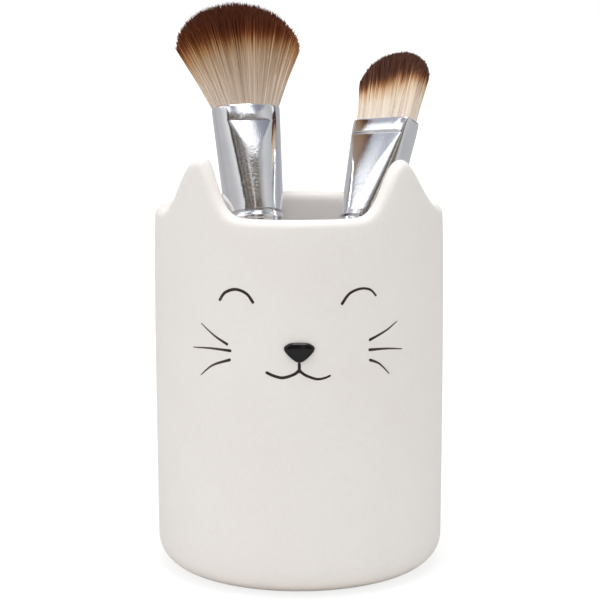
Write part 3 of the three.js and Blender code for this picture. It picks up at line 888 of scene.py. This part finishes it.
# The round parts lie further out than the pressed faces and keep a fine orange peel.
chrome, tree, place = new_material("polished_nickel")
own_place = attribute(tree, "own_place").outputs["Vector"]
smudge = uneven(own_place, 0.008)
scratch = uneven(drawn_out(own_place, 0.04), 0.0003)
deep = add_node(tree, "SeparateXYZ", {0: own_place}).outputs["Y"]
unpressed = fade(calculate("ABSOLUTE", deep), 0.0058, 0.0072, 0.25, 1.0)
peel = calculate("MULTIPLY", unpressed, uneven(own_place, 0.0009))
rough_scratch = calculate("MULTIPLY", scratch, 0.08)
skin = calculate("ADD", peel, calculate("MULTIPLY", scratch, 0.25))
finish(tree, {
    "Base Color": ramp(smudge, [(0.3, "#e2e4e9"), (0.7, "#eaebee")]),
    "Metallic": 1.0,
    "Roughness": calculate("MULTIPLY_ADD", smudge, 0.08, rough_scratch),
    "Normal": relief(skin, 0.00003, 1.0),
})

for brush in BRUSHES:
    bm = tube_mesh(brush, ferrule_levels(brush), is_ring=True)
    keep_own_place(bm)
    ferrule = piece_from(brush["name"] + "_tube", bm, chrome, brush_place(brush))
    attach(ferrule, brush["name"])
    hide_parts(brush["name"] + "_ferrule")

# ------------------------ hair tufts
# Bundles of fine nylon hair, beige with dark brown dipped tips, tied, cut to a dome and glued into
# the ferrule's mouth. The powder brush fans out wide, the foundation brush stays flat.
DOUBLINGS = 13  # of one strand, so that a tuft has 8192
STRAND_RADIUS = 0.12
STRAND_RINGS = (0.0, 0.5, 1.0, 1.85, 2.0)  # 1 is where a strand turns dark, 2 is its tip
STRAND_WIDTHS = (1.3, 1.4, 1.3, 1.0, 0.0)
STRAND_LAYERS = ("ring", "corner", "strand")
ROOT_DEPTH = 1.0  # of a strand's lower end, below the ferrule's mouth
TRIES = 8  # places tried for each strand that is kept
DENSE_FROM, SPARSE_SHARE = 0.85, 0.55  # full from this share outwards, and thinner further in
LOCKS_ROUND, LOCK_LAYERS = 240, 8
LOCK_DRIFT, STRAND_DRIFT = 0.1, 0.2
LOCK_TONE, STRAND_TONE = 0.1, 0.16
DEEP_SHARE = 0.75  # how much the dome falls off to the front and back
DEEP_FAN = 0.6  # how much a tuft fans out there, against across
SETTLING_STEPS = 24
LEAST_DARK = 1.5  # length of a dark tip
DYE_RUN = 12  # length past the dye line that the upper half of the colour ramps covers


def strand_bundle():
    """A mesh of like strands, three-sided and pointed, with each point's place in its layers."""
    bm = bmesh.new()
    ring_of, corner_of, strand_of = (bm.verts.layers.int.new(name) for name in STRAND_LAYERS)
    verts = bmesh.ops.create_circle(bm, cap_ends=True, segments=3, radius=1.0)["verts"]
    for corner, vertex in enumerate(verts):
        vertex[corner_of] = corner
    face = bm.faces[:][0]
    for ring in range(1, len(STRAND_RINGS)):
        face = extruded(bm, face, (0, 0, 1), is_first=ring == 1)
        for vertex in face.verts:
            vertex[ring_of] = ring
    tip = Vector((0, 0, len(STRAND_RINGS) - 1))
    bmesh.ops.pointmerge(bm, verts=face.verts[:], merge_co=tip)
    for doubling in range(DOUBLINGS):
        for vertex in doubled(bm):
            vertex[strand_of] += 2 ** doubling
    return bm


def read_layer(mesh, name):
    """The whole numbers of a layer, which is taken off the mesh."""
    values = np.zeros(len(mesh.vertices), np.int32)
    mesh.attributes[name].data.foreach_get("value", values)
    mesh.attributes.remove(mesh.attributes[name])
    return values


def tuft_mesh(brush, seed):
    """The strands of a tuft over the ferrule's mouth, with their tone and tips as attributes."""
    bm = strand_bundle()
    bmesh.ops.recalc_face_normals(bm, faces=bm.faces)
    mesh = bpy.data.meshes.new(brush["name"])
    bm.to_mesh(mesh)
    bm.free()
    ring, corner, strand = (read_layer(mesh, name) for name in STRAND_LAYERS)
    count = 2 ** DOUBLINGS
    random = np.random.default_rng(seed)

    def scattered(shape):
        """Random numbers about 0, with the far ones brought in."""
        return np.clip(random.normal(0, 1, shape), -1.5, 1.5)

    # The mouth is filled evenly, and more thickly towards the outside, where the hair is seen.
    room = FERRULE_WALL + 0.2
    half_x, half_y = (half - room for half in brush["mouth_half"])
    tried = random.uniform(-1, 1, (count * TRIES, 2))
    squareness = brush["root_squareness"]
    share = (np.abs(tried) ** squareness).sum(1) ** (1 / squareness)
    wanted = random.random(count * TRIES) < np.where(share > DENSE_FROM, 1.0, SPARSE_SHARE)
    kept = np.flatnonzero((share < 1) & wanted)[:count]
    root_x, root_y, share = tried[kept, 0] * half_x, tried[kept, 1] * half_y, share[kept]
    across = root_x / half_x
    # Neighbouring strands cling together in locks.
    turn_share = (np.arctan2(tried[kept, 1], tried[kept, 0]) + pi) / (2 * pi)
    lock = np.floor(turn_share * (LOCKS_ROUND - 0.1)) + LOCKS_ROUND * np.floor(share * LOCK_LAYERS)
    lock = lock.astype(int)
    lock_tone = scattered(lock.max() + 1)[lock]
    lock_drift = scattered((lock.max() + 1, 2))[lock]
    drift = LOCK_DRIFT * lock_drift + STRAND_DRIFT * random.normal(0, 1, (count, 2))
    tone = 0.5 + LOCK_TONE * lock_tone + STRAND_TONE * random.normal(0, 1, count)
    # The dome is high across the brush and flatter from its front to its back. A strand's length and
    # how far it fans out depend on each other, so they settle together.
    widen = brush["tuft_half"] / half_x
    power, dome_start = brush["dome_power"], brush["dome_start"]
    deep = DEEP_SHARE * root_y / half_y
    dome_share = (np.abs(across) ** power + np.abs(deep) ** power) ** (1 / power)
    length = np.full(count, float(dome_start))
    for _ in range(SETTLING_STEPS):
        reach = np.minimum(dome_share * (1 + (widen - 1) * length / dome_start) / widen, 1)
        length = (length + dome_start + brush["dome"] * np.sqrt(1 - reach ** 2)) / 2
    uncut = random.uniform(-1, 1, count) + 0.3 * lock_tone
    length += brush["slant"] * root_x + brush["tip_spread"] * uncut
    # The dye line drops towards the sides and is a little ragged.
    dark = brush["dyed_middle"] - brush["dyed_drop"] * across ** 2 + brush["dyed_slant"] * across
    dark += brush["dye_spread"] * scattered(count) + 0.3 * lock_tone
    dark = np.minimum(dark, length - LEAST_DARK)
    station = np.array(STRAND_RINGS)[ring]
    height = (dark + ROOT_DEPTH)[strand] * np.minimum(station, 1) - ROOT_DEPTH
    height += (length - dark)[strand] * np.maximum(station - 1, 0)
    thickness = (0.8 + 0.4 * random.random(count))[strand] * np.array(STRAND_WIDTHS)[ring]
    radius = STRAND_RADIUS * thickness
    spin = random.uniform(0, 2 * pi, count)[strand] + corner * 2 * pi / 3
    above = np.maximum(height, 0) / dome_start
    x = root_x[strand] * (1 + (widen - 1) * above) + brush["shift"] * above
    y = root_y[strand] * (1 + DEEP_FAN * (widen - 1) * above)
    x += drift[strand, 0] * above ** 1.5 + radius * np.cos(spin)
    y += drift[strand, 1] * above ** 1.5 + radius * np.sin(spin)
    placed = np.stack([x, y, brush["mouth"] + height], 1)
    mesh.vertices.foreach_set("co", placed.astype(np.float32).ravel())
    # Along a strand the colour goes from 0 at the mouth through 0.5 at the dye line.
    past = height - dark[strand]
    undyed = 0.5 * np.maximum(height, 0) / np.maximum(dark[strand], 0.1)
    along = mesh.attributes.new("along", "FLOAT", "POINT")
    dyed = np.where(past > 0, 0.5 + past / (2 * DYE_RUN), undyed)
    along.data.foreach_set("value", dyed.astype(np.float32))
    fibre = mesh.attributes.new("fibre", "FLOAT_VECTOR", "POINT")
    own = np.stack([across, np.clip(tone, 0, 1), random.random(count)], 1)[strand]
    fibre.data.foreach_set("vector", own.astype(np.float32).ravel())
    return mesh


def hair_material(name, stops, side_stops):
    """Two-tone nylon: a ramp along the hair, one for the outer hair, and each strand's own tone."""
    material, tree, _ = new_material(name)
    along = attribute(tree, "along").outputs["Fac"]
    fibre = attribute(tree, "fibre").outputs["Vector"]
    across, tone, gloss = add_node(tree, "SeparateXYZ", {0: fibre}).outputs
    outer = calculate("POWER", calculate("ABSOLUTE", across), 3.0)
    dyed = mix_colours(outer, ramp(along, stops), ramp(along, side_stops))
    toned = ramp(tone, [(0.1, "#d2c8be"), (0.5, "#faf7f5"), (0.85, "#ffffff")])
    nylon = mix_colours(1.0, dyed, toned, "MULTIPLY")
    glossy = finish(tree, {
        "Base Color": nylon,
        "Roughness": calculate("MULTIPLY_ADD", gloss, 0.2, 0.4),
        "Specular IOR Level": 0.25,
    })
    thin = add_node(tree, "BsdfTranslucent", {"Color": nylon}).outputs[0]
    feed(tree.nodes["Material Output"].inputs["Surface"], mix_shaders(0.2, glossy, thin))
    return material


powder_hair = hair_material("powder_hair", [
    (0.0, "#e8dacc"), (0.2, "#dcc9b6"), (0.38, "#d3b99e"), (0.46, "#c29a70"), (0.53, "#96592f"),
    (0.6, "#70371b"), (0.75, "#5c2a12"), (1.0, "#5a2810"),
], [
    (0.0, "#fff2e5"), (0.2, "#fdeddb"), (0.36, "#efd4b1"), (0.48, "#d9a46c"), (0.55, "#b0723f"),
    (0.64, "#884721"), (0.8, "#6c3417"), (1.0, "#622c14"),
])
foundation_hair = hair_material("foundation_hair", [
    (0.0, "#fff8f0"), (0.24, "#fff4e4"), (0.36, "#f6e0c4"), (0.44, "#e4bf94"), (0.49, "#bf8a60"),
    (0.53, "#936042"), (0.58, "#684232"), (1.0, "#5a3a2e"),
], [
    (0.0, "#fff6ec"), (0.3, "#fdf0de"), (0.42, "#f4dcbe"), (0.48, "#cf9f74"), (0.53, "#8f5b40"),
    (0.59, "#63402f"), (1.0, "#5a3a2e"),
])
for brush, material, seed in ((POWDER, powder_hair, 11), (FOUNDATION, foundation_hair, 12)):
    mesh = tuft_mesh(brush, seed)
    mesh.transform(Matrix.Scale(MM, 4) @ brush_place(brush))
    mesh.materials.append(material)
    mesh.shade_flat()
    tuft = new_object(brush["name"] + "_tuft", mesh)
    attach(tuft, brush["name"])
    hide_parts(brush["name"] + "_hair")

# ------------------------ root plugs
# Blocks of clear amber glue that hold the hair inside the ferrules, out of sight.
PLUG = 14.0  # its length, below the slice of glue that the hair itself is set in
PLUG_TOP = 3.3  # its upper end, below the ferrule's mouth
PLUG_INSET = FERRULE_WALL + EDGE_ROUND

resin, tree, place = new_material("amber_glue")
finish(tree, {
    "Base Color": ramp(uneven(place, 0.004), [(0.3, "#b79a63"), (0.7, "#d0b98a")]),
    "Roughness": calculate("MULTIPLY_ADD", uneven(place, 0.002), 0.2, 0.3),
})
for brush in BRUSHES:
    top = brush["mouth"] - PLUG_TOP
    foot = top - PLUG
    bm = tube_mesh(brush, [(z, PLUG_INSET + rounding) for z, rounding in (
        (foot, 0.8), (foot + 0.2, 0.25), (foot + 0.6, 0), (top - 7, 0),
        (top - 3, 0), (top - 0.6, 0), (top - 0.2, 0.25), (top, 0.8),
    )])
    bmesh.ops.holes_fill(bm, edges=[edge for edge in bm.edges if edge.is_boundary])
    plug = piece_from(brush["name"] + "_glue_plug", bm, resin, brush_place(brush))
    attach(plug, brush["name"])
    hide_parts(brush["name"] + "_root_plug")

# ------------------------ handles
# Turned wood under dark brown lacquer, with a round foot and a tenon that the ferrule is crimped on.
# They are inside the cup and out of the photograph's sight.
HANDLE_GAP = 0.3  # under and inside the ferrule
TENON_NECK = 0.5
TENON_EDGE = 0.5
SHOULDER_EDGE = 0.4
TAPER_STEPS = 33
HANDLE_SIDES = 64


def handle_profile(brush):
    """(radius, height) from the foot's pole up to the top of the tenon."""
    shoulder = brush["start"] - HANDLE_GAP
    wide = brush["tube"] - HANDLE_GAP
    tenon = brush["tube"] - FERRULE_WALL - HANDLE_GAP
    groove = brush["start"] + HEM
    top = brush["start"] + TENON
    points = arc((0, 0), FOOT_RADIUS, -90, 0, 12)
    for step in range(1, TAPER_STEPS):
        share = step / TAPER_STEPS
        points.append((lerp(FOOT_RADIUS, wide, smooth_step(share)), shoulder * share))
    points += arc((wide - SHOULDER_EDGE, shoulder - SHOULDER_EDGE), SHOULDER_EDGE, 0, 90, 4)
    neck = tenon - TENON_NECK
    points += [(tenon, shoulder), (tenon, groove - 1), (neck, groove - 0.5)]
    points += [(neck, groove + 0.5), (tenon, groove + 1)]
    points += arc((tenon - TENON_EDGE, top - TENON_EDGE), TENON_EDGE, 0, 90, 4)
    return points + [(0, top)]


lacquer, tree, place = new_material("dark_lacquer")
own_place = attribute(tree, "own_place").outputs["Vector"]
grain = uneven(drawn_out(own_place, 0.06), 0.0012)
finish(tree, {
    "Base Color": ramp(grain, [(0.3, "#2c1a12"), (0.55, "#3d2519"), (0.75, "#4d3122")]),
    "Roughness": calculate("MULTIPLY_ADD", uneven(own_place, 0.006), 0.14, 0.18),
    "Coat Weight": 0.5,
    "Coat Roughness": 0.1,
    "Normal": relief(grain, 0.0001, 0.1),
})
for brush in BRUSHES:
    bm = spun(handle_profile(brush), 2 * pi, HANDLE_SIDES, use_merge=True)
    keep_own_place(bm)
    handle = piece_from(brush["name"] + "_turned_handle", bm, lacquer, brush_place(brush))
    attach(handle, brush["name"])
    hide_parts(brush["name"] + "_handle")
